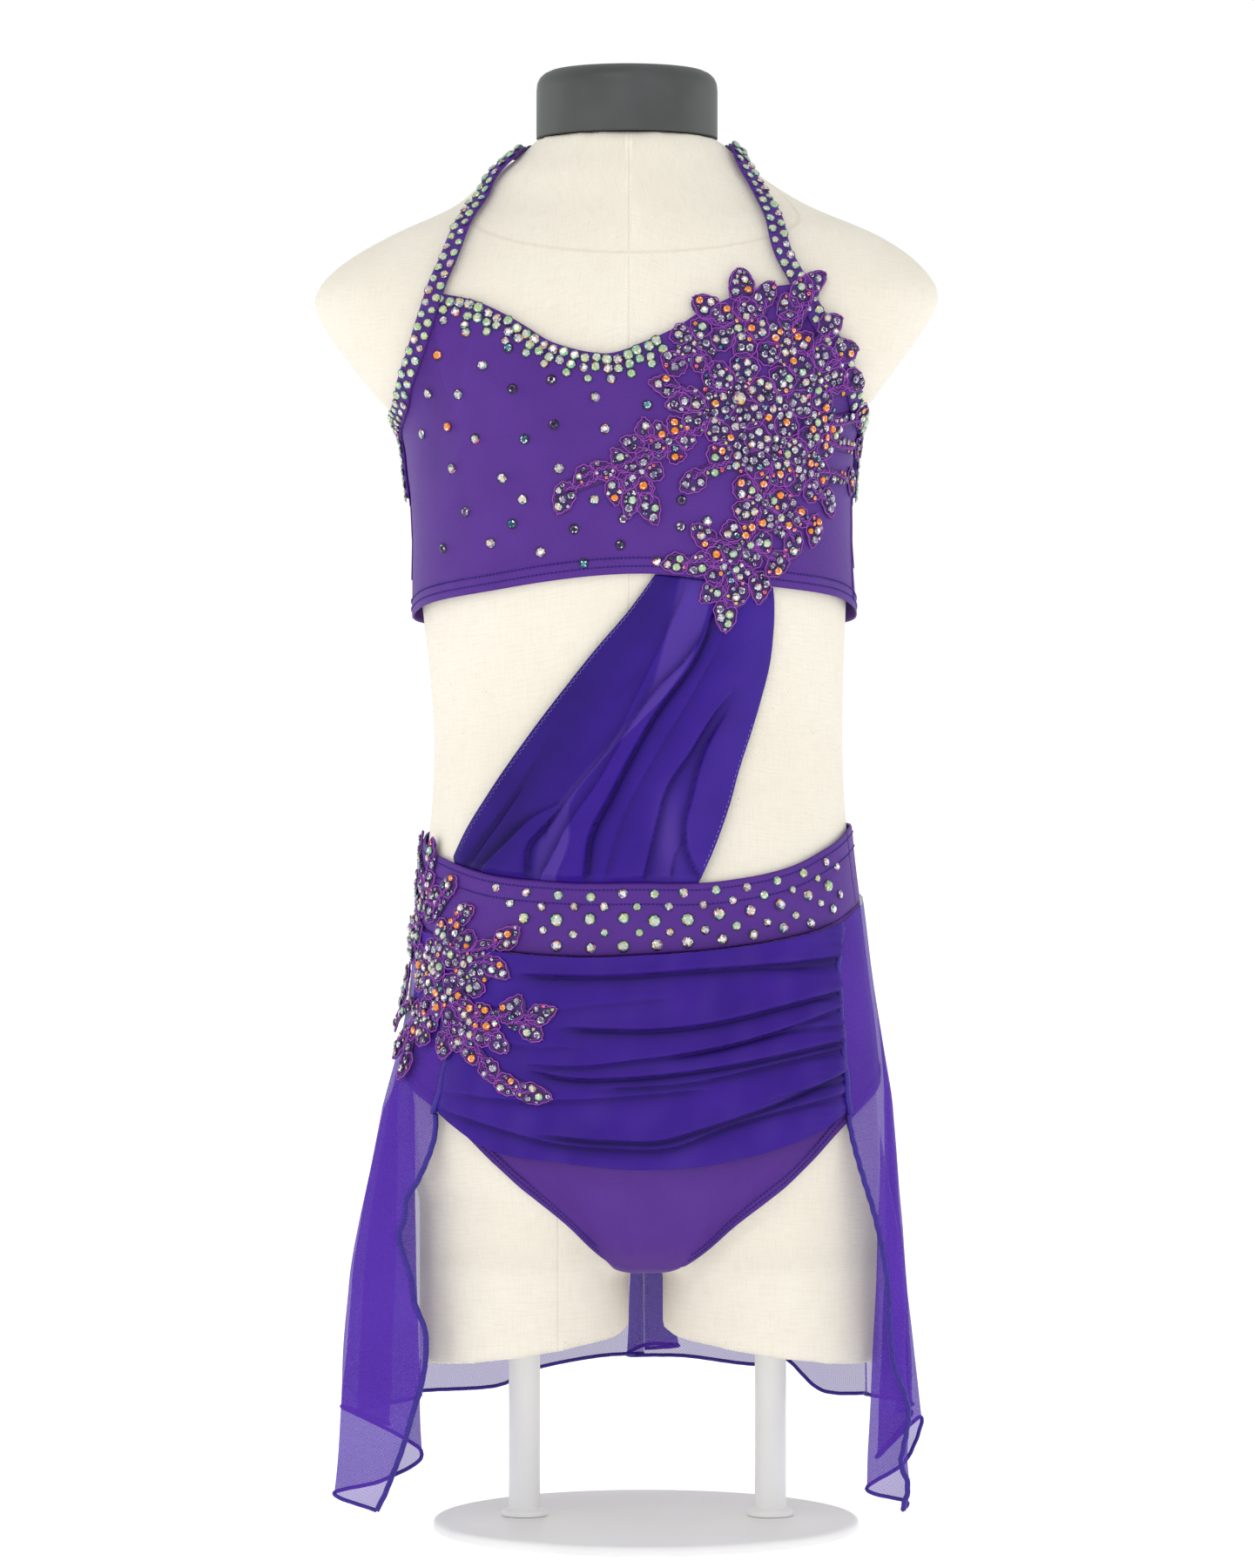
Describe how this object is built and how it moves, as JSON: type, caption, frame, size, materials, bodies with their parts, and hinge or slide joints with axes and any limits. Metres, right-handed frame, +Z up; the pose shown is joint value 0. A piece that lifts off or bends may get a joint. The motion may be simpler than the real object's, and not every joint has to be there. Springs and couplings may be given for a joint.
{
  "type": "two-piece lyrical dance costume on a limbless dress form",
  "caption": "Halter crop top and brief joined by a mesh sash, with a sheer open-front skirt, corded lace and crystals, worn on a child's dress form with a stand.",
  "frame": {"origin": "centre of the footprint at floor level, under the middle of the body as worn; the face the stand rests on is at Z 0", "axes": "+Z up, the garment's front faces -Y, +X to the right as seen from the front"},
  "size_m": [0.3578, 0.2624, 0.8355],
  "materials": {
    "linen": "cream linen weave, matte",
    "cap": "dark grey, satin",
    "stand": "white powder coat, satin",
    "spandex": "purple knit with a soft sheen",
    "mesh": "purple sheer power mesh",
    "lace": "orchid corded lace with crystals"
  },
  "bodies": {
    "root": {"dress_form": "linen", "neck_cap": "cap", "stand_base": "stand", "stand_post_left": "stand", "stand_post_right": "stand", "top_front": "spandex", "top_back": "spandex", "strap_left": "spandex", "strap_right": "spandex", "waistband_front": "spandex", "waistband_back": "spandex", "brief_front": "spandex", "brief_back": "spandex", "ruched_front": "mesh", "sash": "mesh", "skirt_left": "mesh", "skirt_right": "mesh", "applique_bust": "lace", "applique_hip": "lace"}
  },
  "joints": []
}
